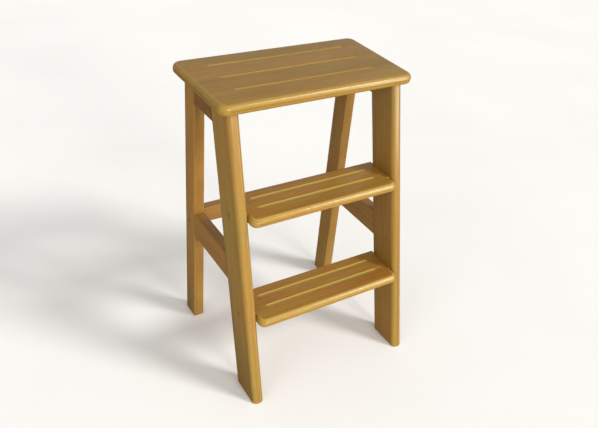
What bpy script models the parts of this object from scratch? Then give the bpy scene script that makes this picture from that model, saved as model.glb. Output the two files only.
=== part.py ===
"""Rigid wooden step stool: two treads and a top board on two leaning front
stiles, two upright rear legs, side rails, side stretchers and a rear crossbar.
X runs across the stool, Y towards its back, Z up. Sizes are in metres."""
import bmesh
import bpy
import math
from mathutils import Matrix, Vector

# overall sizes
SEAT_WIDTH = 0.440
SEAT_DEPTH = 0.232
STOOL_HEIGHT = 0.630
FLOOR_DEPTH = 0.379          # front of the feet to the back of the top board

# top board
SEAT_THICKNESS = 0.022
SEAT_CORNER_RADIUS = 0.020
SEAT_EDGE_RADIUS = 0.0095
SIDE_OVERHANG = 0.020        # top board past the outer faces of the frame
FRONT_OVERHANG = 0.013       # top board past the front of the stiles
BACK_OVERHANG = 0.026        # top board past the back of the rear legs

# frame boards
FRAME_THICKNESS = 0.024
STILE_DEPTH = 0.076          # measured level, front to back
LEG_DEPTH = 0.045
RAIL_HEIGHT = 0.0435
STRETCHER_HEIGHT = 0.056
STRETCHER_BOTTOM = 0.244
CROSSBAR_HEIGHT = 0.038
CROSSBAR_BOTTOM = 0.260
CROSSBAR_THICKNESS = 0.022
CROSSBAR_BACK_INSET = 0.0075  # crossbar in from the back of the legs
STILE_FRONT_RADIUS = 0.009
BOARD_EDGE_RADIUS = 0.002
FOOT_EDGE_RADIUS = 0.001

# treads
TREAD_TOPS = {"tread_lower": 0.199, "tread_middle": 0.411}
TREAD_THICKNESS = 0.020
TREAD_DEPTH = 0.1035
TREAD_NOSE = 0.020           # tread past the front of the stiles
TREAD_CORNER_RADIUS = 0.015
TREAD_EDGE_RADIUS = 0.009
TREAD_BACK_RADIUS = 0.002
NOSE_ROUND_START = 0.011     # square part begins this far behind the stile front

# shallow grooves
GROOVE_WIDTH = 0.0090
GROOVE_LOWEST = 0.0014
GROOVE_RUNOUT = 0.0080       # each end of the cutter tapers over this length
SEAT_GROOVE_COUNT = 3
SEAT_GROOVE_SPACING = 0.060
SEAT_GROOVE_SHIFT = 0.005    # middle groove behind the middle of the top board
SEAT_GROOVE_END = 0.053      # plain wood left at each end
TREAD_GROOVE_FIRST = 0.042   # nose to the first groove
TREAD_GROOVE_SPACING = 0.034
TREAD_GROOVE_COUNT = 2
TREAD_GROOVE_END = 0.029

# joints
GLUE_GAP = 0.0003
DOWEL_RADIUS = 0.004
DOWEL_CHAMFER = 0.0008
DOWEL_END_ROOM = 0.0005
DOWEL_IN_LEG = 0.018         # dowels that run front to back
DOWEL_IN_RAIL = 0.018
DOWEL_IN_SIDE = 0.014        # dowels that run across, into stile or leg
DOWEL_IN_END_GRAIN = 0.020   # the same dowels, into a tread or the crossbar
DOWEL_IN_SEAT = 0.012        # upright dowels
DOWEL_IN_POST = 0.024
RAIL_DOWEL_SPACING = 0.022
STRETCHER_DOWEL_SPACING = 0.028
TREAD_DOWEL_BACK = 0.022     # behind the screw
CROSSBAR_SCREW_UP = 0.010    # above the lower edge of the crossbar
CROSSBAR_DOWEL_DOWN = 0.012  # below its upper edge
STILE_DOWEL_SHIFT = -0.012   # upright dowel ahead of the middle of the stile
LEG_DOWEL_BACK = 0.0125      # upright dowel in from the back of the leg

# screws and plugs
PLUG_RADIUS = 0.0050
PLUG_THICKNESS = 0.0060
PLUG_CHAMFER = 0.0004
SCREW_HEAD_RADIUS = 0.0044
SCREW_HEAD_HEIGHT = 0.0028
SCREW_HEAD_RIM = 0.0010      # straight part of the head
SCREW_CORE_RADIUS = 0.0016
SCREW_THREAD_RADIUS = 0.0023
SCREW_THREAD_PITCH = 0.0030
SCREW_TIP_LENGTH = 0.0040
SIDE_SCREW_LENGTH = 0.0420
SEAT_SCREW_LENGTH = 0.0340
SEAT_SCREW_BITE = 0.0130     # thread inside the top board
SEAT_SCREW_ROOM = 0.030      # in from each end of the rail
RECESS_DEPTH = 0.0016
RECESS_LENGTH = 0.0046
RECESS_WIDTH = 0.0011
SCREW_FIT = 0.0003
SCREW_END_ROOM = 0.0010

# smoothness
ROUND_SIDES = 20
SCREW_SIDES = 14
GROOVE_SIDES = 24
RUNOUT_STEPS = 3
EDGE_STEPS = 5
CORNER_STEPS = 6
BOARD_EDGE_STEPS = 3
BACK_EDGE_STEPS = 2
FOOT_EDGE_STEPS = 1
CUT_PAST = 0.004             # cutters run this far past a face
SHARP_ANGLE = math.radians(32)
SAME_PLACE = 1e-5            # two values closer than this are one place
MERGE_DISTANCE = 1e-6
ALONG_SHARE = 0.9            # an edge follows an axis if this share of it does

# derived positions
SEAT_BACK = FLOOR_DEPTH / 2
SEAT_FRONT = SEAT_BACK - SEAT_DEPTH
SEAT_UNDER = STOOL_HEIGHT - SEAT_THICKNESS
FRAME_TOP = SEAT_UNDER - GLUE_GAP
OUTER_X = SEAT_WIDTH / 2 - SIDE_OVERHANG
INNER_X = OUTER_X - FRAME_THICKNESS
MIDDLE_X = (OUTER_X + INNER_X) / 2
LEG_BACK = SEAT_BACK - BACK_OVERHANG
LEG_FRONT = LEG_BACK - LEG_DEPTH
FOOT_FRONT = -FLOOR_DEPTH / 2
STILE_TOP_FRONT = SEAT_FRONT + FRONT_OVERHANG
STILE_SLOPE = (STILE_TOP_FRONT - FOOT_FRONT) / SEAT_UNDER
RAIL_BOTTOM = SEAT_UNDER - RAIL_HEIGHT
CROSSBAR_BACK = LEG_BACK - CROSSBAR_BACK_INSET
CROSSBAR_MIDDLE = CROSSBAR_BACK - CROSSBAR_THICKNESS / 2
HOLE_RADIUS = DOWEL_RADIUS + GLUE_GAP
PLUG_HOLE_RADIUS = PLUG_RADIUS + GLUE_GAP
COUNTERBORE_DEPTH = PLUG_THICKNESS + 2 * GLUE_GAP + SCREW_HEAD_HEIGHT
SCREW_HOLE_RADIUS = SCREW_THREAD_RADIUS + SCREW_FIT

FINISHES = {                 # colour, roughness, metallic
    "seat_wood": ((0.36, 0.19, 0.055), 0.35, 0.0),
    "tread_wood": ((0.37, 0.175, 0.05), 0.35, 0.0),
    "stile_wood": ((0.40, 0.20, 0.055), 0.33, 0.0),
    "leg_wood": ((0.35, 0.17, 0.045), 0.36, 0.0),
    "rail_wood": ((0.30, 0.13, 0.035), 0.40, 0.0),
    "plug_wood": ((0.27, 0.13, 0.04), 0.45, 0.0),
    "dowel_wood": ((0.56, 0.40, 0.22), 0.60, 0.0),
    "screw_steel": ((0.55, 0.54, 0.50), 0.35, 1.0),
}

SIDES = {"left": -1, "right": 1}


def stile_front(height):
    return FOOT_FRONT + STILE_SLOPE * height


def stile_back(height):
    return stile_front(height) + STILE_DEPTH


def clear_scene():
    for item in list(bpy.data.objects):
        bpy.data.objects.remove(item, do_unlink=True)


def make_collection(name):
    group = bpy.data.collections.new(name)
    bpy.context.scene.collection.children.link(group)
    return group


def make_material(name, finish):
    colour, roughness, metallic = FINISHES[finish]
    material = bpy.data.materials.new(name)
    material.use_nodes = True
    shader = material.node_tree.nodes["Principled BSDF"]
    shader.inputs["Base Color"].default_value = (*colour, 1.0)
    shader.inputs["Roughness"].default_value = roughness
    shader.inputs["Metallic"].default_value = metallic
    return material


def finish_mesh(bm, name):
    bmesh.ops.recalc_face_normals(bm, faces=bm.faces[:])
    mesh = bpy.data.meshes.new(name)
    bm.to_mesh(mesh)
    bm.free()
    return mesh


def add_part(group, name, bm, finish):
    mesh = finish_mesh(bm, name)
    part = bpy.data.objects.new(name, mesh)
    group.objects.link(part)
    mesh.materials.append(make_material(name + "_finish", finish))
    for face in mesh.polygons:
        face.use_smooth = True
    mesh.set_sharp_from_angle(angle=SHARP_ANGLE)
    return part


def add_cut(group, part, bm):
    """Takes the bodies in bm out of the part."""
    add_boolean(group, part, bm, "cuts", "DIFFERENCE")


def add_join(group, part, bm):
    """Joins the body in bm to the part."""
    add_boolean(group, part, bm, "join", "UNION")


def add_boolean(group, part, bm, name, operation):
    helper_name = f"{part.name}_{name}"
    helper = bpy.data.objects.new(helper_name, finish_mesh(bm, helper_name))
    group.objects.link(helper)
    helper.hide_render = True
    helper.display_type = "WIRE"
    step = part.modifiers.new(name, "BOOLEAN")
    step.operation = operation
    step.solver = "EXACT"
    step.object = helper


def extrude_outline(bm, points, run):
    """Closed body from a flat outline of points, drawn out along run."""
    face = bm.faces.new([bm.verts.new(point) for point in points])
    grown = bmesh.ops.extrude_face_region(bm, geom=[face])["geom"]
    moved = [item for item in grown if isinstance(item, bmesh.types.BMVert)]
    bmesh.ops.translate(bm, verts=moved, vec=run)
    bmesh.ops.recalc_face_normals(bm, faces=bm.faces[:])


def side_board(outline, x_low, x_high):
    """Board cut to a (y, z) outline and as thick as x_high - x_low."""
    bm = bmesh.new()
    extrude_outline(bm, [(x_low, y, z) for y, z in outline], (x_high - x_low, 0, 0))
    return bm


def flat_board(x_low, x_high, y_low, y_high, z_low, z_high):
    bm = bmesh.new()
    size = Matrix.Diagonal((x_high - x_low, y_high - y_low, z_high - z_low, 1))
    middle = Vector((x_low + x_high, y_low + y_high, z_low + z_high)) / 2
    bmesh.ops.create_cube(bm, size=1, matrix=Matrix.Translation(middle) @ size)
    return bm


def round_edges(bm, chosen, radius, steps):
    edges = [edge for edge in bm.edges if chosen(edge)]
    bmesh.ops.bevel(bm, geom=edges, offset=radius, segments=steps, profile=0.5,
                    affect="EDGES", clamp_overlap=True)


def along(edge, axis):
    run = edge.verts[1].co - edge.verts[0].co
    return abs(run[axis]) > ALONG_SHARE * run.length


def both_at(edge, axis, value):
    return all(abs(vert.co[axis] - value) < SAME_PLACE for vert in edge.verts)


def on_stile_front(edge):
    return all(abs(vert.co.y - stile_front(vert.co.z)) < SAME_PLACE for vert in edge.verts)


def on_stile_back(edge):
    return all(abs(vert.co.y - stile_back(vert.co.z)) < SAME_PLACE for vert in edge.verts)


def turned(bm, outline, start, axis, sides):
    """Closed round body; outline lists (distance along axis, radius) from end to end."""
    axis = Vector(axis).normalized()
    across = axis.orthogonal().normalized()
    start = Vector(start)
    verts = [bm.verts.new(start + axis * far + across * radius) for far, radius in outline]
    edges = [bm.edges.new(pair) for pair in zip(verts, verts[1:])]
    bmesh.ops.spin(bm, geom=verts + edges, cent=start, axis=axis, angle=2 * math.pi,
                   steps=sides, use_merge=True)
    bmesh.ops.remove_doubles(bm, verts=bm.verts[:], dist=MERGE_DISTANCE)


def hole(bm, start, axis, radius, depth):
    """Round hole that begins just outside the face at start and runs depth into it."""
    turned(bm, [(-CUT_PAST, 0), (-CUT_PAST, radius), (depth, radius), (depth, 0)],
           start, axis, ROUND_SIDES)


def stepped_hole(bm, start, axis, wide, wide_depth, narrow, depth):
    turned(bm, [(-CUT_PAST, 0), (-CUT_PAST, wide), (wide_depth, wide),
                (wide_depth, narrow), (depth, narrow), (depth, 0)],
           start, axis, ROUND_SIDES)


def flute(bm, x_low, x_high, y, top):
    """Cutter for a shallow groove with rounded ends, running across the stool."""
    radius = (GROOVE_WIDTH ** 2 / 4 + GROOVE_LOWEST ** 2) / (2 * GROOVE_LOWEST)
    length = x_high - x_low
    taper = []
    for step in range(RUNOUT_STEPS + 1):
        angle = step / RUNOUT_STEPS * math.pi / 2
        taper.append((GROOVE_RUNOUT * (1 - math.cos(angle)), radius * math.sin(angle)))
    outline = taper + [(length - far, wide) for far, wide in reversed(taper)]
    turned(bm, outline, (x_low, y, top + radius - GROOVE_LOWEST), (1, 0, 0), GROOVE_SIDES)


class Joints:
    """Keeps the cutters for every board and makes the pieces that hold them."""

    def __init__(self, parts, cutters):
        self.parts = parts
        self.cutters = cutters
        self.cuts = {}

    def cut_for(self, board):
        if board not in self.cuts:
            self.cuts[board] = bmesh.new()
        return self.cuts[board]

    def dowel(self, name, start, axis, back_board, back_depth, ahead_board, ahead_depth):
        """Dowel across the joint at start; axis points into ahead_board."""
        start = Vector(start)
        axis = Vector(axis)
        room = DOWEL_END_ROOM
        length = back_depth + ahead_depth - 2 * room
        foot = start - axis * (back_depth - room)
        bm = bmesh.new()
        narrow = DOWEL_RADIUS - DOWEL_CHAMFER
        turned(bm, [(0, 0), (0, narrow), (DOWEL_CHAMFER, DOWEL_RADIUS),
                    (length - DOWEL_CHAMFER, DOWEL_RADIUS), (length, narrow), (length, 0)],
               foot, axis, ROUND_SIDES)
        add_part(self.parts, name, bm, "dowel_wood")
        hole(self.cut_for(back_board), start, -axis, HOLE_RADIUS, back_depth)
        hole(self.cut_for(ahead_board), start, axis, HOLE_RADIUS, ahead_depth)

    def screw(self, name, head_top, axis, length):
        """Wood screw with its head top at head_top and its tip along axis."""
        axis = Vector(axis).normalized()
        outline = [(0, 0), (0, SCREW_HEAD_RADIUS), (SCREW_HEAD_RIM, SCREW_HEAD_RADIUS),
                   (SCREW_HEAD_HEIGHT, SCREW_THREAD_RADIUS)]
        run = SCREW_HEAD_HEIGHT + SCREW_THREAD_PITCH
        while run < length - SCREW_TIP_LENGTH - SCREW_THREAD_PITCH:
            outline.append((run, SCREW_CORE_RADIUS))
            outline.append((run + SCREW_THREAD_PITCH / 2, SCREW_THREAD_RADIUS))
            run += SCREW_THREAD_PITCH
        outline.append((length - SCREW_TIP_LENGTH, SCREW_CORE_RADIUS))
        outline.append((length, 0))
        bm = bmesh.new()
        turned(bm, outline, head_top, axis, SCREW_SIDES)
        part = add_part(self.parts, name, bm, "screw_steel")
        self.cross_recess(part, head_top, axis)

    def cross_recess(self, part, head_top, axis):
        """Cross shaped driver recess, cut as one star outline."""
        across = axis.orthogonal().normalized()
        other = axis.cross(across)
        half_long = RECESS_LENGTH / 2
        half_wide = RECESS_WIDTH / 2
        quarter = [(half_long, -half_wide), (half_long, half_wide), (half_wide, half_wide)]
        loop = []
        for turn in range(4):
            spin = Matrix.Rotation(turn * math.pi / 2, 2)
            for point in quarter:
                u, v = spin @ Vector(point)
                loop.append(Vector(head_top) - axis * CUT_PAST + across * u + other * v)
        bm = bmesh.new()
        extrude_outline(bm, loop, axis * (CUT_PAST + RECESS_DEPTH))
        add_cut(self.cutters, part, bm)

    def plug(self, name, face_point, axis):
        bm = bmesh.new()
        narrow = PLUG_RADIUS - PLUG_CHAMFER
        turned(bm, [(0, 0), (0, PLUG_RADIUS), (PLUG_THICKNESS - PLUG_CHAMFER, PLUG_RADIUS),
                    (PLUG_THICKNESS, narrow), (PLUG_THICKNESS, 0)],
               face_point, axis, ROUND_SIDES)
        add_part(self.parts, name, bm, "plug_wood")

    def side_screw(self, name, side_name, side, y, z, post, board):
        """Screw from the outer face of a post into the end of a board, under a plug."""
        face_point = Vector((side * OUTER_X, y, z))
        inward = Vector((-side, 0, 0))
        head_top = face_point + inward * (PLUG_THICKNESS + GLUE_GAP)
        self.plug(f"{name}_plug_{side_name}", face_point, inward)
        self.screw(f"{name}_screw_{side_name}", head_top, inward, SIDE_SCREW_LENGTH)
        stepped_hole(self.cut_for(post), face_point, inward, PLUG_HOLE_RADIUS,
                     COUNTERBORE_DEPTH, SCREW_HOLE_RADIUS, FRAME_THICKNESS + CUT_PAST)
        reach = PLUG_THICKNESS + GLUE_GAP + SIDE_SCREW_LENGTH - FRAME_THICKNESS
        hole(self.cut_for(board), (side * INNER_X, y, z), inward, SCREW_HOLE_RADIUS,
             reach + SCREW_END_ROOM)

    def finish(self):
        for board, bm in self.cuts.items():
            add_cut(self.cutters, bpy.data.objects[board], bm)


def build_seat(parts, joints):
    half = SEAT_WIDTH / 2
    bm = flat_board(-half, half, SEAT_FRONT, SEAT_BACK, SEAT_UNDER, STOOL_HEIGHT)
    round_edges(bm, lambda edge: along(edge, 2), SEAT_CORNER_RADIUS, CORNER_STEPS)
    round_edges(bm, lambda edge: both_at(edge, 2, STOOL_HEIGHT) or both_at(edge, 2, SEAT_UNDER),
                SEAT_EDGE_RADIUS, EDGE_STEPS)
    add_part(parts, "seat_board", bm, "seat_wood")
    middle = (SEAT_FRONT + SEAT_BACK) / 2 + SEAT_GROOVE_SHIFT
    reach = half - SEAT_GROOVE_END
    for index in range(SEAT_GROOVE_COUNT):
        y = middle + (index - (SEAT_GROOVE_COUNT - 1) / 2) * SEAT_GROOVE_SPACING
        flute(joints.cut_for("seat_board"), -reach, reach, y, STOOL_HEIGHT)


def tread_nose(top, half):
    """Front of a tread: round corners, and round edges above and below."""
    start = stile_front(top) - TREAD_NOSE
    end = stile_front(top) + NOSE_ROUND_START + TREAD_THICKNESS
    bottom = top - TREAD_THICKNESS
    bm = flat_board(-half, half, start, end, bottom, top)
    round_edges(bm, lambda edge: along(edge, 2) and both_at(edge, 1, start),
                TREAD_CORNER_RADIUS, CORNER_STEPS)
    round_edges(bm, lambda edge: (both_at(edge, 2, top) or both_at(edge, 2, bottom))
                and not both_at(edge, 1, end), TREAD_EDGE_RADIUS, EDGE_STEPS)
    return bm


def build_tread(parts, joints, name, top):
    """Square body between the stiles joined to a rounded nose ahead of them."""
    half = INNER_X - GLUE_GAP
    nose = stile_front(top) - TREAD_NOSE
    back = nose + TREAD_DEPTH
    square_start = stile_front(top) + NOSE_ROUND_START
    body = flat_board(-half, half, square_start, back, top - TREAD_THICKNESS, top)
    round_edges(body, lambda edge: along(edge, 0) and both_at(edge, 1, back),
                TREAD_BACK_RADIUS, BACK_EDGE_STEPS)
    tread = add_part(parts, name, body, "tread_wood")
    add_join(joints.cutters, tread, tread_nose(top, half))
    reach = half - TREAD_GROOVE_END
    for index in range(TREAD_GROOVE_COUNT):
        y = nose + TREAD_GROOVE_FIRST + index * TREAD_GROOVE_SPACING
        flute(joints.cut_for(name), -reach, reach, y, top)
    middle_z = top - TREAD_THICKNESS / 2
    screw_y = (stile_front(middle_z) + stile_back(middle_z)) / 2
    dowel_y = screw_y + TREAD_DOWEL_BACK
    for side_name, side in SIDES.items():
        post = f"front_stile_{side_name}"
        joints.side_screw(name, side_name, side, screw_y, middle_z, post, name)
        joints.dowel(f"{name}_dowel_{side_name}", (side * INNER_X, dowel_y, middle_z),
                     (-side, 0, 0), post, DOWEL_IN_SIDE, name, DOWEL_IN_END_GRAIN)


def build_stile(parts, side_name, side):
    low, high = sorted((side * INNER_X, side * OUTER_X))
    outline = [(stile_front(0), 0), (stile_back(0), 0),
               (stile_back(FRAME_TOP), FRAME_TOP), (stile_front(FRAME_TOP), FRAME_TOP)]
    bm = side_board(outline, low, high)
    round_edges(bm, lambda edge: along(edge, 2) and on_stile_front(edge),
                STILE_FRONT_RADIUS, CORNER_STEPS)
    round_edges(bm, lambda edge: along(edge, 2) and on_stile_back(edge),
                BOARD_EDGE_RADIUS, BACK_EDGE_STEPS)
    round_edges(bm, lambda edge: both_at(edge, 2, 0), FOOT_EDGE_RADIUS, FOOT_EDGE_STEPS)
    add_part(parts, f"front_stile_{side_name}", bm, "stile_wood")


def build_leg(parts, side_name, side):
    low, high = sorted((side * INNER_X, side * OUTER_X))
    bm = flat_board(low, high, LEG_FRONT, LEG_BACK, 0, FRAME_TOP)
    round_edges(bm, lambda edge: along(edge, 2), BOARD_EDGE_RADIUS, BOARD_EDGE_STEPS)
    round_edges(bm, lambda edge: both_at(edge, 2, 0), FOOT_EDGE_RADIUS, FOOT_EDGE_STEPS)
    add_part(parts, f"rear_leg_{side_name}", bm, "leg_wood")


def build_side_bars(parts, side_name, side):
    """Top rail and stretcher, mitred to the lean of the stile at their front."""
    low, high = sorted((side * INNER_X, side * OUTER_X))
    bars = {
        "top_rail": (RAIL_BOTTOM, FRAME_TOP),
        "side_stretcher": (STRETCHER_BOTTOM, STRETCHER_BOTTOM + STRETCHER_HEIGHT),
    }
    for bar_name, (bottom, top) in bars.items():
        outline = [(stile_back(bottom) + GLUE_GAP, bottom), (LEG_FRONT - GLUE_GAP, bottom),
                   (LEG_FRONT - GLUE_GAP, top), (stile_back(top) + GLUE_GAP, top)]
        bm = side_board(outline, low, high)
        round_edges(bm, lambda edge: along(edge, 1), BOARD_EDGE_RADIUS, BOARD_EDGE_STEPS)
        add_part(parts, f"{bar_name}_{side_name}", bm, "rail_wood")


def join_side_bars(joints, side_name, side):
    stretcher_middle = STRETCHER_BOTTOM + STRETCHER_HEIGHT / 2
    spacings = {
        "top_rail": (RAIL_BOTTOM + RAIL_HEIGHT / 2, RAIL_DOWEL_SPACING),
        "side_stretcher": (stretcher_middle, STRETCHER_DOWEL_SPACING),
    }
    x = side * MIDDLE_X
    for bar_name, (middle, spacing) in spacings.items():
        bar = f"{bar_name}_{side_name}"
        for level, z in (("low", middle - spacing / 2), ("high", middle + spacing / 2)):
            joints.dowel(f"{bar}_front_dowel_{level}", (x, stile_back(z), z), (0, 1, 0),
                         f"front_stile_{side_name}", DOWEL_IN_LEG, bar, DOWEL_IN_RAIL)
            joints.dowel(f"{bar}_back_dowel_{level}", (x, LEG_FRONT, z), (0, 1, 0),
                         bar, DOWEL_IN_RAIL, f"rear_leg_{side_name}", DOWEL_IN_LEG)


def build_crossbar(parts, joints):
    half = INNER_X - GLUE_GAP
    top = CROSSBAR_BOTTOM + CROSSBAR_HEIGHT
    bar = flat_board(-half, half, CROSSBAR_BACK - CROSSBAR_THICKNESS, CROSSBAR_BACK,
                     CROSSBAR_BOTTOM, top)
    round_edges(bar, lambda edge: along(edge, 0), BOARD_EDGE_RADIUS, BOARD_EDGE_STEPS)
    add_part(parts, "rear_crossbar", bar, "leg_wood")
    for side_name, side in SIDES.items():
        post = f"rear_leg_{side_name}"
        joints.side_screw("rear_crossbar", side_name, side, CROSSBAR_MIDDLE,
                          CROSSBAR_BOTTOM + CROSSBAR_SCREW_UP, post, "rear_crossbar")
        joints.dowel(f"rear_crossbar_dowel_{side_name}",
                     (side * INNER_X, CROSSBAR_MIDDLE, top - CROSSBAR_DOWEL_DOWN),
                     (-side, 0, 0), post, DOWEL_IN_SIDE, "rear_crossbar", DOWEL_IN_END_GRAIN)


def fix_seat(joints, side_name, side):
    """Screws up through the top rail, and dowels up from the stile and the leg."""
    x = side * MIDDLE_X
    rail = f"top_rail_{side_name}"
    head_z = SEAT_UNDER + SEAT_SCREW_BITE - SEAT_SCREW_LENGTH
    spots = {
        "front": stile_back(SEAT_UNDER) + SEAT_SCREW_ROOM,
        "back": LEG_FRONT - SEAT_SCREW_ROOM,
    }
    for spot_name, y in spots.items():
        joints.screw(f"seat_screw_{spot_name}_{side_name}", (x, y, head_z), (0, 0, 1),
                     SEAT_SCREW_LENGTH)
        head_room = head_z + SCREW_HEAD_HEIGHT + GLUE_GAP - RAIL_BOTTOM
        stepped_hole(joints.cut_for(rail), (x, y, RAIL_BOTTOM), (0, 0, 1), PLUG_HOLE_RADIUS,
                     head_room, SCREW_HOLE_RADIUS, RAIL_HEIGHT + CUT_PAST)
        hole(joints.cut_for("seat_board"), (x, y, SEAT_UNDER), (0, 0, 1), SCREW_HOLE_RADIUS,
             SEAT_SCREW_BITE + SCREW_END_ROOM)
    stile_middle = (stile_front(SEAT_UNDER) + stile_back(SEAT_UNDER)) / 2
    posts = {
        f"front_stile_{side_name}": stile_middle + STILE_DOWEL_SHIFT,
        f"rear_leg_{side_name}": LEG_BACK - LEG_DOWEL_BACK,
    }
    for post, y in posts.items():
        joints.dowel(f"seat_dowel_{post}", (x, y, SEAT_UNDER), (0, 0, 1),
                     post, DOWEL_IN_POST, "seat_board", DOWEL_IN_SEAT)


def main():
    clear_scene()
    parts = make_collection("step_stool")
    cutters = make_collection("cutters")
    joints = Joints(parts, cutters)
    build_seat(parts, joints)
    for side_name, side in SIDES.items():
        build_stile(parts, side_name, side)
        build_leg(parts, side_name, side)
        build_side_bars(parts, side_name, side)
    for side_name, side in SIDES.items():
        join_side_bars(joints, side_name, side)
        fix_seat(joints, side_name, side)
    for name, top in TREAD_TOPS.items():
        build_tread(parts, joints, name, top)
    build_crossbar(parts, joints)
    joints.finish()


main()
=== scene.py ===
import bmesh
import bpy
import math
from mathutils import Matrix, Vector


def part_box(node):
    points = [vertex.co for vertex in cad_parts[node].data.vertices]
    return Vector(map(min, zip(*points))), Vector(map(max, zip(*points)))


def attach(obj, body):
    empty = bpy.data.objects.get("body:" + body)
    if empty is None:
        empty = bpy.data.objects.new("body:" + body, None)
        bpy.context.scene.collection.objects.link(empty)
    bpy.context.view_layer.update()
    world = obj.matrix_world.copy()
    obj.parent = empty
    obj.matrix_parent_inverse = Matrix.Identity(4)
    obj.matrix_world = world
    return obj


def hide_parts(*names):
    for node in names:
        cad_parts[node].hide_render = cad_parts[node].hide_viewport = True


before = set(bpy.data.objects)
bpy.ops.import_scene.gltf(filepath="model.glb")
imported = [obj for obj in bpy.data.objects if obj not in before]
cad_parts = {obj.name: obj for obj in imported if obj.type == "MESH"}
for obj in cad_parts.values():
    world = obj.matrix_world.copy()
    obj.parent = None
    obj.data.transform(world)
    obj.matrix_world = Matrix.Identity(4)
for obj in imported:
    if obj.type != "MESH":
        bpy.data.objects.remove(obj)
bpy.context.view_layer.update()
print("frame loaded:", len(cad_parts), "nodes")

bodyName = "root"
sideNames = ("left", "right")

seatSettings = {
    "cornerRadius": 0.020,
    "edgeRadius": 0.0095,
    "cornerSteps": 14,
    "edgeSteps": 12,
    "grooveCount": 3,
    "grooveSpacing": 0.060,
    "grooveShift": 0.005,      # middle groove sits a little behind the centre
    "grooveEnd": 0.053,        # plain wood left at each end
    "grooveWidth": 0.0090,
    "grooveDepth": 0.0014,
    "grooveHighlight": 0.15,        # painted highlight: how far a groove takes the lighter edge tone
}
treadSettings = {
    "squareStart": 0.031,      # from the nose to where the sides turn square
    "noseBlock": 0.051,
    "cornerRadius": 0.015,
    "edgeRadius": 0.009,
    "backRadius": 0.002,
    "cornerSteps": 12,
    "edgeSteps": 12,
    "backSteps": 4,
    "grooveFirst": 0.042,
    "grooveSpacing": 0.034,
    "grooveCount": 2,
    "grooveEnd": 0.029,
    "grooveWidth": 0.0090,
    "grooveDepth": 0.0014,
    # painted highlight: how far a groove takes the lighter edge tone
    "grooveHighlight": 0.9,
    "staveStart": 0.008,       # first glued stave begins this far behind the nose
    "grainStep": 0.3,          # along the grain between one tread's pattern and the next
}
stileSettings = {
    "levelDepth": 0.076,       # front to back, level with the floor
    "frontRadius": 0.009,
    "backRadius": 0.002,
    "footRadius": 0.001,
    "frontSteps": 14,
    "backSteps": 4,
    "footSteps": 2,
}
legSettings = {"edgeRadius": 0.002, "footRadius": 0.001, "edgeSteps": 5, "footSteps": 2}
barSettings = {"edgeRadius": 0.002, "edgeSteps": 5, "jointGap": 0.0003}
plugSettings = {
    "holeRadius": 0.0053,
    "holeDepth": 0.0020,
    "lipEase": 0.0003,         # the hole's mouth is broken by this much
    "rimRadius": 0.0005,
    "faceRise": 0.00012,       # end grain stands a hair proud
    "sharpAngle": 40,
}
screwHoleSettings = {"radius": 0.0053}

roundSides = 40
grooveSides = 96
pastFace = 0.003               # a cutter starts this far outside the wood
closeEnough = 1e-5
mergeDistance = 1e-6
alongLimit = 0.9               # share of an edge's length that runs along an axis
flatLimit = 0.999              # faces this square to the board count as flat
roundedLimit = 0.75            # steeper than this is a rounded edge and no groove
grooveFloor = 1.02             # a groove ends here, in shares of its depth
grooveFade = 4.0               # full painted groove highlight from a quarter of the depth
# shares of a groove's width and of its cutter's radius, from the end inwards
grooveTaper = ((0.0, 0.0), (0.12, 0.55), (0.45, 0.86), (1.0, 1.0))


def alongAxis(edge, axis):
    run = edge.verts[1].co - edge.verts[0].co
    return abs(run[axis]) > alongLimit * run.length


def bothAt(edge, axis, value):
    return all(abs(vert.co[axis] - value) < closeEnough for vert in edge.verts)


def onLeanFace(edge, start, slope):
    # both ends on the plane that meets the floor at start and leans back
    return all(abs(vert.co.y - start - slope * vert.co.z) < closeEnough for vert in edge.verts)


def roundEdges(bm, chosen, radius, steps):
    edges = [edge for edge in bm.edges if chosen(edge)]
    bmesh.ops.bevel(bm, geom=edges, offset=radius, segments=steps, profile=0.5,
                    affect="EDGES", material=-1, clamp_overlap=True)


def boxBoard(low, high):
    bm = bmesh.new()
    size = Vector(high) - Vector(low)
    middle = (Vector(high) + Vector(low)) / 2
    bmesh.ops.create_cube(bm, size=1.0)
    bmesh.ops.scale(bm, vec=size, verts=bm.verts[:])
    bmesh.ops.translate(bm, vec=middle, verts=bm.verts[:])
    return bm


def turnedBody(outline, start, axis, sides=roundSides):
    # outline: distance along the axis and radius, from end to end
    bm = bmesh.new()
    axis = Vector(axis).normalized()
    across = axis.orthogonal().normalized()
    start = Vector(start)
    verts = [bm.verts.new(start + axis * far + across * radius) for far, radius in outline]
    edges = [bm.edges.new(pair) for pair in zip(verts, verts[1:])]
    bmesh.ops.spin(bm, geom=verts + edges, cent=start, axis=axis, angle=2 * math.pi,
                   steps=sides, use_merge=True)
    bmesh.ops.remove_doubles(bm, verts=bm.verts[:], dist=mergeDistance)
    bmesh.ops.recalc_face_normals(bm, faces=bm.faces[:])
    return bm


def grooveBody(low, high, y, top, width, depth):
    radius = (width ** 2 / 4 + depth ** 2) / (2 * depth)
    span = high - low
    start = [(far * width, share * radius) for far, share in grooveTaper]
    end = [(span - far * width, share * radius) for far, share in reversed(grooveTaper)]
    return turnedBody(start + end, (low, y, top + radius - depth), (1, 0, 0), grooveSides)


def meshFrom(bm, name):
    mesh = bpy.data.meshes.new(name)
    bm.to_mesh(mesh)
    bm.free()
    return mesh


def combine(piece, bm, operation):
    helper = bpy.data.objects.new("helper", meshFrom(bm, "helper"))
    bpy.context.scene.collection.objects.link(helper)
    step = piece.modifiers.new("combine", "BOOLEAN")
    step.operation = operation
    step.solver = "EXACT"
    step.object = helper
    shown = piece.evaluated_get(bpy.context.evaluated_depsgraph_get())
    made = bpy.data.meshes.new_from_object(shown)
    piece.modifiers.clear()
    old = piece.data
    piece.data = made
    bpy.data.meshes.remove(old)
    bpy.data.objects.remove(helper, do_unlink=True)


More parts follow.
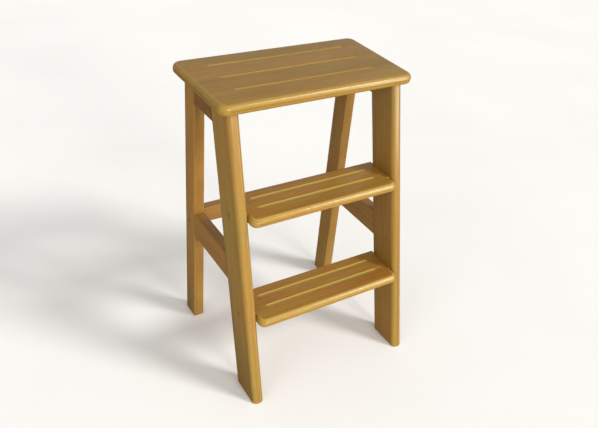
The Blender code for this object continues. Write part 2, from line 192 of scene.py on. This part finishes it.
def paintGrooveHighlights(piece, top, depth, strength):
    # painted highlight, with its strength at the bottom of a groove, fading out at its lips
    mesh = piece.data
    layer = mesh.attributes.new("grooveHighlightMark", "FLOAT", "POINT")
    rounded = {index for face in mesh.polygons if face.normal.z < roundedLimit for index in face.vertices}
    marks = []
    for vert in mesh.vertices:
        sunk = (top - vert.co.z) / depth
        inside = sunk < grooveFloor and vert.index not in rounded
        marks.append(strength * min(1.0, grooveFade * sunk) if inside else 0.0)
    layer.data.foreach_set("value", marks)


def markEdges(mesh, lean):
    # 1 on rounded edges, 0 wherever a vertex also bounds a flat face
    axes = (Vector((1, 0, 0)), Vector((0, 1, lean)).normalized(), Vector((0, -lean, 1)).normalized(),
            Vector((0, 1, 0)), Vector((0, 0, 1)), Vector((0, -1, lean)).normalized())
    marks = [1.0] * len(mesh.vertices)
    for face in mesh.polygons:
        if max(abs(face.normal.dot(axis)) for axis in axes) > flatLimit:
            for index in face.vertices:
                marks[index] = 0.0
    layer = mesh.attributes.new("edgeMark", "FLOAT", "POINT")
    layer.data.foreach_set("value", marks)


def addPiece(name, bm, nodes):
    piece = bpy.data.objects.new(name, meshFrom(bm, name))
    bpy.context.scene.collection.objects.link(piece)
    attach(piece, bodyName)
    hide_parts(*nodes)
    return piece


def finishPiece(piece, material, lean=0.0, sharpAngle=28):
    mesh = piece.data
    markEdges(mesh, lean)
    mesh.materials.clear()
    mesh.materials.append(material)
    for face in mesh.polygons:
        face.use_smooth = True
    mesh.set_sharp_from_angle(angle=math.radians(sharpAngle))


# scale is per metre, stretch draws a pattern out along the grain, column and row place the node
noiseSettings = {
    # slow changes of tone
    "broad": {"scale": 7.0, "stretch": 0.22, "detail": 3.0, "roughness": 0.5, "distortion": 0.3, "row": 420},
    # slow changes between a redder and a greener amber
    "drift": {"scale": 5.5, "detail": 2.0, "roughness": 0.5, "distortion": 0.6, "row": 620},
    # growth bands across the board
    "ring": {"scale": 26.0, "stretch": 0.035, "detail": 2.0, "roughness": 0.45, "distortion": 1.9,
             "row": 180},
    "fibre": {"scale": 520.0, "stretch": 0.022, "detail": 3.0, "roughness": 0.6, "row": -60},
    "pore": {"scale": 900.0, "stretch": 0.05, "detail": 1.0, "roughness": 0.4, "row": -300},
    "wear": {"scale": 60.0, "detail": 3.0, "roughness": 0.6, "row": -700},
    "gloss": {"scale": 11.0, "detail": 4.0, "roughness": 0.55, "row": -900},
    "steel": {"scale": 700.0, "detail": 3.0, "roughness": 0.6, "column": -600, "row": 0},
    "floor": {"scale": 2.0, "detail": 3.0, "roughness": 0.5, "column": -600, "row": 0},
}
woodSettings = {
    "driftRed": (1.05, 0.97, 0.92),
    "driftGreen": (0.96, 1.03, 1.0),
    "staveStep": 7.31,         # keeps one stave's grain clear of its neighbour's
    "staveDrop": 0.37,
    "ringRepeat": 6.0,
    "ringTone": 0.32,
    "broadTone": 0.55,
    "fibreTone": (0.86, 1.10),
    "staveTint": (1.0, 1.35, 1.7),
    "poreEdge": (0.62, 0.74),
    "poreTone": 0.35,
    "poreColour": (0.45, 0.33, 0.22),
    "wearRange": (0.55, 1.0),
    "wearTone": 0.55,
    "roughRange": (0.30, 0.40),
    "poreRough": 0.12,
    "wearSmooth": 0.05,
    "fibreHeight": 0.35,
    "poreHeight": 0.45,
    "glossHeight": 0.5,
    "bumpDistance": 0.0006,
}
lacquerSettings = {
    "IOR": 1.45,
    "Specular IOR Level": 0.22,
    "Coat Roughness": 0.17,
    "Coat IOR": 1.38,
}
lacquerCoat = 0.4
woodBump = 0.25
plainWidth = 5.0               # stave width of a board that is one piece


def addNode(tree, kind, place, **values):
    node = tree.nodes.new(kind)
    node.location = place
    for key, value in values.items():
        setattr(node, key, value)
    return node


def stretched(tree, source, stretch, place):
    node = addNode(tree, "ShaderNodeVectorMath", place, operation="MULTIPLY")
    node.inputs[1].default_value = (stretch, 1.0, 1.0)
    tree.links.new(source, node.inputs[0])
    return node.outputs[0]


def noiseOn(tree, source, name):
    s = noiseSettings[name]
    if "stretch" in s:
        source = stretched(tree, source, s["stretch"], (-420, s["row"]))
    node = addNode(tree, "ShaderNodeTexNoise", (s.get("column", -240), s["row"]))
    node.inputs["Scale"].default_value = s["scale"]
    node.inputs["Detail"].default_value = s["detail"]
    node.inputs["Roughness"].default_value = s["roughness"]
    node.inputs["Distortion"].default_value = s.get("distortion", 0.0)
    tree.links.new(source, node.inputs["Vector"])
    return node.outputs["Fac"]


def ranged(tree, source, fromLow, fromHigh, toLow, toHigh, place):
    node = addNode(tree, "ShaderNodeMapRange", place, clamp=True)
    node.inputs["From Min"].default_value = fromLow
    node.inputs["From Max"].default_value = fromHigh
    node.inputs["To Min"].default_value = toLow
    node.inputs["To Max"].default_value = toHigh
    tree.links.new(source, node.inputs["Value"])
    return node.outputs["Result"]


def maths(tree, operation, first, second, place):
    node = addNode(tree, "ShaderNodeMath", place, operation=operation)
    for socket, value in zip(node.inputs, (first, second)):
        if isinstance(value, (int, float)):
            socket.default_value = value
        else:
            tree.links.new(value, socket)
    return node.outputs[0]


def mixed(tree, blend, factor, first, second, place):
    node = addNode(tree, "ShaderNodeMix", place, data_type="RGBA", blend_type=blend)
    for name, value in (("Factor_Float", factor), ("A_Color", first), ("B_Color", second)):
        socket = next(item for item in node.inputs if item.identifier == name)
        if isinstance(value, (int, float)):
            socket.default_value = value
        elif isinstance(value, tuple):
            socket.default_value = (*value, 1.0)
        else:
            tree.links.new(value, socket)
    return next(item for item in node.outputs if item.identifier == "Result_Color")


def openWoodGroup():
    tree = bpy.data.node_groups.new("lacqueredWood", "ShaderNodeTree")
    face = tree.interface
    face.new_socket("Vector", in_out="INPUT", socket_type="NodeSocketVector")
    for name in ("Light", "Dark", "Edge"):
        face.new_socket(name, in_out="INPUT", socket_type="NodeSocketColor")
    for name in ("Edge Mark", "Groove Highlight", "Stave Width", "Stave Tone", "Seed"):
        face.new_socket(name, in_out="INPUT", socket_type="NodeSocketFloat")
    face.new_socket("Colour", in_out="OUTPUT", socket_type="NodeSocketColor")
    face.new_socket("Roughness", in_out="OUTPUT", socket_type="NodeSocketFloat")
    face.new_socket("Height", in_out="OUTPUT", socket_type="NodeSocketFloat")
    return tree


def addStaves(tree, given):
    # staves glued side by side each start their own stretch of grain
    s = woodSettings
    link = tree.links.new
    split = addNode(tree, "ShaderNodeSeparateXYZ", (-1600, -200))
    link(given.outputs["Vector"], split.inputs[0])
    across = maths(tree, "DIVIDE", split.outputs["Y"], given.outputs["Stave Width"], (-1400, -300))
    number = maths(tree, "FLOOR", across, 0.0, (-1250, -300))
    stepped = maths(tree, "MULTIPLY", number, s["staveStep"], (-1100, -300))
    seed = maths(tree, "ADD", stepped, given.outputs["Seed"], (-950, -300))
    noise = addNode(tree, "ShaderNodeTexWhiteNoise", (-800, -420), noise_dimensions="1D")
    link(seed, noise.inputs["W"])
    shift = addNode(tree, "ShaderNodeCombineXYZ", (-800, -250))
    link(seed, shift.inputs["X"])
    link(maths(tree, "MULTIPLY", seed, s["staveDrop"], (-950, -150)), shift.inputs["Z"])
    place = addNode(tree, "ShaderNodeVectorMath", (-620, -100), operation="ADD")
    link(given.outputs["Vector"], place.inputs[0])
    link(shift.outputs[0], place.inputs[1])
    return place.outputs[0], noise.outputs["Value"]


def greyOf(tree, levels, place):
    node = addNode(tree, "ShaderNodeCombineColor", place)
    for level, socket in zip(levels, node.inputs):
        tree.links.new(level, socket)
    return node.outputs[0]


def staveTint(tree, given, value):
    s = woodSettings
    centred = maths(tree, "SUBTRACT", value, 0.5, (-600, -420))
    amount = maths(tree, "MULTIPLY", centred, given.outputs["Stave Tone"], (-440, -420))
    levels = []
    for index, share in enumerate(s["staveTint"]):
        y = -420 - 110 * index
        levels.append(maths(tree, "ADD", maths(tree, "MULTIPLY", amount, share, (100, y)), 1.0, (260, y)))
    return greyOf(tree, levels, (420, -420))


def addGrainTone(tree, given, grain, staveValue):
    s = woodSettings
    broad, bend, fibre, pore, drift = (noiseOn(tree, grain, name)
                                       for name in ("broad", "ring", "fibre", "pore", "drift"))
    repeated = maths(tree, "MULTIPLY", bend, s["ringRepeat"], (-60, 180))
    ring = ranged(tree, maths(tree, "PINGPONG", repeated, 0.5, (100, 180)), 0.0, 0.5, 0.0, 1.0, (260, 180))
    poreMask = ranged(tree, pore, *s["poreEdge"], 0.0, 1.0, (100, -300))

    ringShare = maths(tree, "MULTIPLY", ring, s["ringTone"], (420, 180))
    broadShare = ranged(tree, broad, 0.3, 0.7, 0.0, s["broadTone"], (260, 420))
    darkness = maths(tree, "ADD", ringShare, broadShare, (580, 300))
    tone = mixed(tree, "MIX", darkness, given.outputs["Light"], given.outputs["Dark"], (740, 300))
    driftShare = ranged(tree, drift, 0.35, 0.65, 0.0, 1.0, (0, 620))
    driftTone = mixed(tree, "MIX", driftShare, s["driftRed"], s["driftGreen"], (260, 620))
    tone = mixed(tree, "MULTIPLY", 1.0, tone, driftTone, (820, 400))
    fibreLevel = ranged(tree, fibre, 0.25, 0.75, *s["fibreTone"], (260, -60))
    tone = mixed(tree, "MULTIPLY", 1.0, tone, greyOf(tree, [fibreLevel] * 3, (420, -60)), (900, 240))
    tone = mixed(tree, "MULTIPLY", 1.0, tone, staveTint(tree, given, staveValue), (1000, 160))
    poreShare = maths(tree, "MULTIPLY", poreMask, s["poreTone"], (420, -300))
    tone = mixed(tree, "MULTIPLY", poreShare, tone, s["poreColour"], (1080, 80))
    return tone, fibre, poreMask


def addWearAndGrooveHighlight(tree, given, tone):
    # rounded edges are sanded through to a lighter, yellower wood; grooves get the same lighter tone as a
    # painted highlight
    s = woodSettings
    noise = noiseOn(tree, given.outputs["Vector"], "wear")
    patch = ranged(tree, noise, 0.3, 0.7, *s["wearRange"], (0, -700))
    wear = maths(tree, "MULTIPLY", given.outputs["Edge Mark"], patch, (180, -700))
    wearShare = maths(tree, "MULTIPLY", wear, s["wearTone"], (420, -700))
    tone = mixed(tree, "MIX", wearShare, tone, given.outputs["Edge"], (1180, 0))
    # grooves take the lighter edge tone as a painted highlight
    tone = mixed(tree, "MIX", given.outputs["Groove Highlight"], tone, given.outputs["Edge"], (1280, 60))
    return tone, wear


def addSurface(tree, given, out, fibre, poreMask, wear):
    s = woodSettings
    gloss = noiseOn(tree, given.outputs["Vector"], "gloss")
    rough = ranged(tree, gloss, 0.3, 0.7, *s["roughRange"], (260, -900))
    rough = maths(tree, "ADD", rough, maths(tree, "MULTIPLY", poreMask, s["poreRough"], (420, -820)),
                  (580, -860))
    smooth = maths(tree, "MULTIPLY", wear, s["wearSmooth"], (580, -960))
    tree.links.new(maths(tree, "SUBTRACT", rough, smooth, (740, -900)), out.inputs["Roughness"])
    raised = maths(tree, "MULTIPLY", fibre, s["fibreHeight"], (580, -1050))
    sunk = maths(tree, "MULTIPLY", poreMask, s["poreHeight"], (580, -1150))
    height = maths(tree, "SUBTRACT", raised, sunk, (740, -1100))
    swell = maths(tree, "MULTIPLY", gloss, s["glossHeight"], (740, -1200))
    tree.links.new(maths(tree, "ADD", height, swell, (900, -1120)), out.inputs["Height"])


def buildWoodGroup():
    tree = openWoodGroup()
    given = addNode(tree, "NodeGroupInput", (-1800, 0))
    out = addNode(tree, "NodeGroupOutput", (1400, 0))
    grain, staveValue = addStaves(tree, given)
    tone, fibre, poreMask = addGrainTone(tree, given, grain, staveValue)
    tone, wear = addWearAndGrooveHighlight(tree, given, tone)
    tree.links.new(tone, out.inputs["Colour"])
    addSurface(tree, given, out, fibre, poreMask, wear)
    return tree


woodGroup = buildWoodGroup()


def makeWood(name, settings):
    material = bpy.data.materials.new(name)
    material.use_nodes = True
    tree = material.node_tree
    shader = tree.nodes["Principled BSDF"]
    link = tree.links.new
    coords = addNode(tree, "ShaderNodeTexCoord", (-900, 0))
    mapping = addNode(tree, "ShaderNodeMapping", (-700, 0))
    mapping.inputs["Rotation"].default_value = settings["turn"]
    mapping.inputs["Location"].default_value = settings["shift"]
    link(coords.outputs["Object"], mapping.inputs["Vector"])
    group = addNode(tree, "ShaderNodeGroup", (-450, 0), node_tree=woodGroup)
    link(mapping.outputs[0], group.inputs["Vector"])
    # edge wear and the painted groove highlight come from mesh attributes
    for mark, socket, y in (("edgeMark", "Edge Mark", -400), ("grooveHighlightMark", "Groove Highlight", -600)):
        attribute = addNode(tree, "ShaderNodeAttribute", (-700, y), attribute_name=mark)
        link(attribute.outputs["Fac"], group.inputs[socket])
    for tone in ("Light", "Dark", "Edge"):
        group.inputs[tone].default_value = (*settings[tone.lower()], 1.0)
    group.inputs["Stave Width"].default_value = settings.get("staveWidth", plainWidth)
    group.inputs["Stave Tone"].default_value = settings.get("staveTone", 0.0)
    group.inputs["Seed"].default_value = settings["seed"]
    link(group.outputs["Colour"], shader.inputs["Base Color"])
    link(group.outputs["Roughness"], shader.inputs["Roughness"])
    bump = addNode(tree, "ShaderNodeBump", (-200, -300))
    bump.inputs["Strength"].default_value = settings.get("bump", woodBump)
    bump.inputs["Distance"].default_value = woodSettings["bumpDistance"]
    link(group.outputs["Height"], bump.inputs["Height"])
    link(bump.outputs[0], shader.inputs["Normal"])
    shader.inputs["Coat Weight"].default_value = settings.get("coat", lacquerCoat)
    for socketName, value in lacquerSettings.items():
        shader.inputs[socketName].default_value = value
    return material


alongX = (0.0, 0.0, 0.0)
alongY = (0.0, 0.0, -math.pi / 2)
alongZ = (0.0, math.pi / 2, 0.0)

# treads and plugs get a seed each where they are built, and a stile the turn of its lean
woodTones = {
    "seat": {"light": (0.325, 0.183, 0.028), "dark": (0.222, 0.109, 0.014), "edge": (0.38, 0.250, 0.055),
             "turn": alongX, "shift": (0.3, -0.0195, 0.0),
             "staveWidth": 0.058, "staveTone": 0.14, "seed": 1.0},
    "tread": {"light": (0.372, 0.203, 0.038), "dark": (0.250, 0.110, 0.019), "edge": (0.43, 0.295, 0.062),
              "turn": alongX, "staveWidth": 0.034, "staveTone": 0.10},
    "stile": {"light": (0.360, 0.214, 0.050), "dark": (0.255, 0.130, 0.026), "edge": (0.40, 0.262, 0.052),
              "shift": (0.0, 0.0, 0.0), "seed": 7.0},
    "leg": {"light": (0.365, 0.206, 0.048), "dark": (0.255, 0.120, 0.025), "edge": (0.42, 0.255, 0.060),
            "turn": alongZ, "shift": (0.4, 0.1, 0.0), "seed": 11.0},
    # darker top rail tones: partly painted shade from the seat's overhang, partly a darker board
    "topRail": {"light": (0.255, 0.130, 0.034), "dark": (0.175, 0.074, 0.019), "edge": (0.30, 0.165, 0.042),
                "turn": alongY, "shift": (0.0, 0.3, 0.0), "seed": 15.0},
    "stretcher": {"light": (0.360, 0.196, 0.050), "dark": (0.250, 0.112, 0.027), "edge": (0.42, 0.245, 0.060),
                  "turn": alongY, "shift": (0.0, 0.3, 0.0), "seed": 17.0},
    "crossbar": {"light": (0.340, 0.176, 0.044), "dark": (0.245, 0.108, 0.025), "edge": (0.38, 0.215, 0.054),
                 "turn": alongX, "shift": (0.0, 0.0, 0.2), "seed": 19.0},
    "plug": {"light": (0.285, 0.155, 0.040), "dark": (0.190, 0.090, 0.022), "edge": (0.30, 0.165, 0.042),
             "turn": alongY, "shift": (0.0, 0.0, 0.0)},
    "dowel": {"light": (0.62, 0.47, 0.28), "dark": (0.50, 0.35, 0.19), "edge": (0.66, 0.52, 0.33),
              "turn": alongX, "shift": (0.0, 0.0, 0.0), "seed": 27.0, "coat": 0.0, "bump": 0.5},
}


def leanTurn(slope):
    # turns the grain to run up a leaning board
    return (math.atan(slope), math.pi / 2, 0.0)


def grooveRow(piece, box, s, first, count, spacing):
    low, high = box
    for index in range(count):
        y = first + index * spacing
        bm = grooveBody(low[0] + s["grooveEnd"], high[0] - s["grooveEnd"], y, high[2],
                        s["grooveWidth"], s["grooveDepth"])
        combine(piece, bm, "DIFFERENCE")


def buildSeat():
    s = seatSettings
    low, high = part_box("seat_board")
    bm = boxBoard(low, high)
    roundEdges(bm, lambda edge: alongAxis(edge, 2), s["cornerRadius"], s["cornerSteps"])
    roundEdges(bm, lambda edge: bothAt(edge, 2, high[2]) or bothAt(edge, 2, low[2]),
               s["edgeRadius"], s["edgeSteps"])
    seat = addPiece("topBoard", bm, ["seat_board"])
    middle = (low[1] + high[1]) / 2 + s["grooveShift"]
    first = middle - s["grooveSpacing"] * (s["grooveCount"] - 1) / 2
    grooveRow(seat, (low, high), s, first, s["grooveCount"], s["grooveSpacing"])
    paintGrooveHighlights(seat, high[2], s["grooveDepth"], s["grooveHighlight"])
    finishPiece(seat, makeWood("topBoardWood", woodTones["seat"]))


def buildTread(node, name, seed):
    s = treadSettings
    low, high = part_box(node)
    square = low[1] + s["squareStart"]
    bm = boxBoard((low[0], square, low[2]), high)
    roundEdges(bm, lambda edge: alongAxis(edge, 0) and bothAt(edge, 1, high[1]),
               s["backRadius"], s["backSteps"])
    tread = addPiece(name, bm, [node])
    noseBack = low[1] + s["noseBlock"]
    nose = boxBoard(low, (high[0], noseBack, high[2]))
    roundEdges(nose, lambda edge: alongAxis(edge, 2) and bothAt(edge, 1, low[1]),
               s["cornerRadius"], s["cornerSteps"])
    roundEdges(nose, lambda edge: (bothAt(edge, 2, high[2]) or bothAt(edge, 2, low[2]))
               and not bothAt(edge, 1, noseBack), s["edgeRadius"], s["edgeSteps"])
    combine(tread, nose, "UNION")
    grooveRow(tread, (low, high), s, low[1] + s["grooveFirst"], s["grooveCount"], s["grooveSpacing"])
    paintGrooveHighlights(tread, high[2], s["grooveDepth"], s["grooveHighlight"])
    shift = (seed * s["grainStep"], -low[1] - s["staveStart"], 0.0)
    tones = dict(woodTones["tread"], seed=seed, shift=shift)
    finishPiece(tread, makeWood(name + "Wood", tones))


def faceMiddle(node, side):
    # middle of a fitting's outer face
    low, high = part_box(node)
    face = low[0] if side < 0 else high[0]
    return (face, (low[1] + high[1]) / 2, (low[2] + high[2]) / 2)


def plugHole(piece, node, side):
    s = plugSettings
    radius, ease = s["holeRadius"], s["lipEase"]
    outline = [(-pastFace, 0), (-pastFace, radius + ease), (0.0, radius + ease),
               (ease, radius), (s["holeDepth"], radius), (s["holeDepth"], 0)]
    combine(piece, turnedBody(outline, faceMiddle(node, side), (-side, 0, 0)), "DIFFERENCE")


def buildStile(sideName, side):
    s = stileSettings
    low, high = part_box("front_stile_" + sideName)
    height = high[2] - low[2]
    slope = (high[1] - low[1] - s["levelDepth"]) / height
    bm = boxBoard(low, (high[0], low[1] + s["levelDepth"], high[2]))
    lean = Matrix.Identity(4)
    lean[1][2] = slope
    bmesh.ops.transform(bm, matrix=lean, verts=bm.verts[:])
    roundEdges(bm, lambda edge: alongAxis(edge, 2) and onLeanFace(edge, low[1], slope),
               s["frontRadius"], s["frontSteps"])
    back = low[1] + s["levelDepth"]
    roundEdges(bm, lambda edge: alongAxis(edge, 2) and onLeanFace(edge, back, slope),
               s["backRadius"], s["backSteps"])
    roundEdges(bm, lambda edge: bothAt(edge, 2, low[2]), s["footRadius"], s["footSteps"])
    stile = addPiece("stile" + sideName.capitalize(), bm, ["front_stile_" + sideName])
    for tread in ("lower", "middle"):
        plugHole(stile, f"tread_{tread}_plug_{sideName}", side)
    tones = dict(woodTones["stile"], seed=woodTones["stile"]["seed"] + side, turn=leanTurn(slope))
    finishPiece(stile, makeWood(f"stile{sideName.capitalize()}Wood", tones), slope)


def buildLeg(sideName, side):
    s = legSettings
    low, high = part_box("rear_leg_" + sideName)
    bm = boxBoard(low, high)
    roundEdges(bm, lambda edge: alongAxis(edge, 2), s["edgeRadius"], s["edgeSteps"])
    roundEdges(bm, lambda edge: bothAt(edge, 2, low[2]), s["footRadius"], s["footSteps"])
    leg = addPiece("leg" + sideName.capitalize(), bm, ["rear_leg_" + sideName])
    plugHole(leg, f"rear_crossbar_plug_{sideName}", side)
    tones = dict(woodTones["leg"], seed=woodTones["leg"]["seed"] + side)
    finishPiece(leg, makeWood(f"leg{sideName.capitalize()}Wood", tones))


def screwHole(bar, node, bottom):
    low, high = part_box(node)
    start = ((low[0] + high[0]) / 2, (low[1] + high[1]) / 2, bottom)
    radius = screwHoleSettings["radius"]
    depth = low[2] - bottom
    outline = [(-pastFace, 0), (-pastFace, radius), (depth, radius), (depth, 0)]
    combine(bar, turnedBody(outline, start, (0, 0, 1)), "DIFFERENCE")


def buildSideBar(kind, name, sideName, side):
    s = barSettings
    node = f"{kind}_{sideName}"
    low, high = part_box(node)
    stileLow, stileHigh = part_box("front_stile_" + sideName)
    levelDepth = stileSettings["levelDepth"]
    slope = (stileHigh[1] - stileLow[1] - levelDepth) / (stileHigh[2] - stileLow[2])
    stileBack = stileLow[1] + levelDepth + s["jointGap"]
    bm = boxBoard(low, high)
    for vert in bm.verts:
        if vert.co.y < (low[1] + high[1]) / 2:
            bmesh.ops.translate(bm, verts=[vert], vec=(0, stileBack + slope * vert.co.z - vert.co.y, 0))
    roundEdges(bm, lambda edge: alongAxis(edge, 1), s["edgeRadius"], s["edgeSteps"])
    bar = addPiece(name + sideName.capitalize(), bm, [node])
    if kind == "top_rail":
        for spot in ("front", "back"):
            screwHole(bar, f"seat_screw_{spot}_{sideName}", low[2])
    tones = dict(woodTones[name], seed=woodTones[name]["seed"] + side)
    finishPiece(bar, makeWood(f"{name}{sideName.capitalize()}Wood", tones), slope)


def buildCrossbar():
    s = barSettings
    low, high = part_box("rear_crossbar")
    bm = boxBoard(low, high)
    roundEdges(bm, lambda edge: alongAxis(edge, 0), s["edgeRadius"], s["edgeSteps"])
    bar = addPiece("crossbar", bm, ["rear_crossbar"])
    finishPiece(bar, makeWood("crossbarWood", woodTones["crossbar"]))


def buildPlug(node, name, side, seed):
    s = plugSettings
    low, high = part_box(node)
    radius = (high[2] - low[2]) / 2
    depth = high[0] - low[0]
    rise, rim = s["faceRise"], s["rimRadius"]
    outline = [(-rise, 0), (-rise, radius - 2 * rim), (-0.5 * rise, radius - rim),
               (0.3 * rim, radius - 0.3 * rim), (rim, radius), (depth, radius), (depth, 0)]
    bm = turnedBody(outline, faceMiddle(node, side), (-side, 0, 0))
    plug = addPiece(name, bm, [node])
    tones = dict(woodTones["plug"], seed=seed)
    finishPiece(plug, makeWood(name + "Wood", tones), sharpAngle=s["sharpAngle"])


plugRows = (("tread_lower", "plugLower", 23.0), ("tread_middle", "plugMiddle", 27.0),
            ("rear_crossbar", "plugRear", 31.0))

buildSeat()
print("top board made")
buildTread("tread_lower", "treadLower", 4.0)
buildTread("tread_middle", "treadMiddle", 5.0)
print("treads made")
for sideName, side in zip(sideNames, (-1, 1)):
    buildStile(sideName, side)
    buildLeg(sideName, side)
    buildSideBar("top_rail", "topRail", sideName, side)
    buildSideBar("side_stretcher", "stretcher", sideName, side)
    for owner, name, seed in plugRows:
        buildPlug(f"{owner}_plug_{sideName}", name + sideName.capitalize(), side, seed + side)
buildCrossbar()
print("frame boards and plugs made")


steelSettings = {
    "tone": (0.62, 0.58, 0.50),
    "darkTone": (0.38, 0.35, 0.30),
    "roughRange": (0.28, 0.45),
    "bump": 0.2,
    "bumpDistance": 0.0001,
}


def makeSteel():
    s = steelSettings
    material = bpy.data.materials.new("zincSteel")
    material.use_nodes = True
    tree = material.node_tree
    shader = tree.nodes["Principled BSDF"]
    coords = addNode(tree, "ShaderNodeTexCoord", (-800, 0))
    cloud = noiseOn(tree, coords.outputs["Object"], "steel")
    share = ranged(tree, cloud, 0.35, 0.65, 0.0, 1.0, (-400, 100))
    tone = mixed(tree, "MIX", share, s["tone"], s["darkTone"], (-200, 100))
    rough = ranged(tree, cloud, 0.3, 0.7, *s["roughRange"], (-400, -150))
    tree.links.new(tone, shader.inputs["Base Color"])
    tree.links.new(rough, shader.inputs["Roughness"])
    bump = addNode(tree, "ShaderNodeBump", (-200, -300))
    bump.inputs["Strength"].default_value = s["bump"]
    bump.inputs["Distance"].default_value = s["bumpDistance"]
    tree.links.new(cloud, bump.inputs["Height"])
    tree.links.new(bump.outputs[0], shader.inputs["Normal"])
    shader.inputs["Metallic"].default_value = 1.0
    return material


def giveFinish(node, finish):
    if not node.material_slots:
        node.data.materials.append(finish)
    for place in node.material_slots:
        place.material = finish


steel = makeSteel()
dowelWood = makeWood("dowelWood", woodTones["dowel"])
for nodeName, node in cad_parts.items():
    if "_screw" in nodeName:
        giveFinish(node, steel)
    elif "dowel" in nodeName:
        giveFinish(node, dowelWood)
print("fittings finished")


studioSettings = {
    "floorSize": 14.0,
    "floorTone": (0.93, 0.93, 0.925),
    "floorCloud": (0.90, 0.90, 0.895),
    "floorRough": 0.9,
    "floorShine": 0.1,
    "worldTone": (1.0, 0.985, 0.955),
    "worldStrength": 0.48,
    "worldFloorTone": (0.16, 0.15, 0.14),
    "worldBlend": 0.1,         # height over which the world turns dark below the horizon
    "sunTone": (1.0, 0.98, 0.945),
    "stripPlace": (1.85, -2.05, 0.95),  # tall soft box, seen only in the gloss of the lacquer
    "stripSize": (0.55, 1.9),
    "stripPower": 42.0,
}
# where each sun stands: side turns from the stool's front towards its right, rise lifts from the
# floor, both in degrees
sunSettings = {
    "key": {"side": 44.0, "rise": 37.0, "spread": 16.0, "strength": 2.0},
    "front": {"side": 4.0, "rise": 12.0, "spread": 22.0, "strength": 2.3},
    "left": {"side": -66.0, "rise": 16.0, "spread": 40.0, "strength": 0.75},
}
cameraSettings = {
    "place": (-0.70205, -1.01314, 1.14765),
    "yaw": 34.556,             # degrees, turned from +Y towards +X
    "pitch": -33.927,
    "roll": 5.766,
    "lens": 40.768,
    "sensor": 36.0,
}


def buildFloor():
    s = studioSettings
    bm = bmesh.new()
    bmesh.ops.create_grid(bm, x_segments=1, y_segments=1, size=s["floorSize"] / 2)
    floor = bpy.data.objects.new("floor", meshFrom(bm, "floor"))
    bpy.context.scene.collection.objects.link(floor)
    material = bpy.data.materials.new("floorPaper")
    material.use_nodes = True
    tree = material.node_tree
    shader = tree.nodes["Principled BSDF"]
    coords = addNode(tree, "ShaderNodeTexCoord", (-800, 0))
    cloud = noiseOn(tree, coords.outputs["Object"], "floor")
    share = ranged(tree, cloud, 0.3, 0.7, 0.0, 1.0, (-400, 0))
    tone = mixed(tree, "MIX", share, s["floorTone"], s["floorCloud"], (-200, 0))
    tree.links.new(tone, shader.inputs["Base Color"])
    shader.inputs["Roughness"].default_value = s["floorRough"]
    shader.inputs["Specular IOR Level"].default_value = s["floorShine"]
    floor.data.materials.append(material)
    floor.visible_glossy = False


def addLight(name, kind, direction):
    # direction points from the light to the stool
    light = bpy.data.objects.new(name, bpy.data.lights.new(name, kind))
    bpy.context.scene.collection.objects.link(light)
    light.rotation_euler = direction.to_track_quat("-Z", "Y").to_euler()
    light.data.color = studioSettings["sunTone"]
    return light


def addSun(name, s):
    side, rise = math.radians(s["side"]), math.radians(s["rise"])
    level = math.cos(rise)
    ahead = Vector((-math.sin(side) * level, math.cos(side) * level, -math.sin(rise)))
    sun = addLight(name, "SUN", ahead)
    sun.data.angle = math.radians(s["spread"])
    sun.data.energy = s["strength"]


def addStrip():
    s = studioSettings
    place = Vector(s["stripPlace"])
    strip = addLight("strip", "AREA", Vector((0.0, 0.0, place.z)) - place)
    strip.location = place
    strip.data.shape = "RECTANGLE"
    strip.data.size, strip.data.size_y = s["stripSize"]
    strip.data.energy = s["stripPower"]
    strip.visible_diffuse = False


def buildWorld():
    s = studioSettings
    world = bpy.data.worlds.new("studio")
    world.use_nodes = True
    tree = world.node_tree
    background = tree.nodes["Background"]
    coords = addNode(tree, "ShaderNodeTexCoord", (-900, 0))
    split = addNode(tree, "ShaderNodeSeparateXYZ", (-700, 0))
    tree.links.new(coords.outputs["Generated"], split.inputs[0])
    rise = ranged(tree, split.outputs["Z"], -s["worldBlend"], s["worldBlend"], 0.0, 1.0, (-500, 0))
    tone = mixed(tree, "MIX", rise, s["worldFloorTone"], s["worldTone"], (-300, 0))
    tree.links.new(tone, background.inputs["Color"])
    background.inputs["Strength"].default_value = s["worldStrength"]
    bpy.context.scene.world = world


def buildCamera():
    c = cameraSettings
    data = bpy.data.cameras.new("camera")
    data.lens = c["lens"]
    data.sensor_width = c["sensor"]
    data.sensor_fit = "HORIZONTAL"
    camera = bpy.data.objects.new("camera", data)
    bpy.context.scene.collection.objects.link(camera)
    yaw, pitch, roll = (math.radians(c[key]) for key in ("yaw", "pitch", "roll"))
    ahead = Vector((math.sin(yaw) * math.cos(pitch), math.cos(yaw) * math.cos(pitch), math.sin(pitch)))
    turn = ahead.to_track_quat("-Z", "Y").to_matrix().to_4x4()
    camera.matrix_world = Matrix.Translation(c["place"]) @ turn @ Matrix.Rotation(roll, 4, "Z")
    bpy.context.scene.camera = camera


buildFloor()
buildWorld()
for sunName, sunValues in sunSettings.items():
    addSun(sunName, sunValues)
addStrip()
buildCamera()
bpy.context.scene.view_settings.view_transform = "Standard"
print("studio set up")
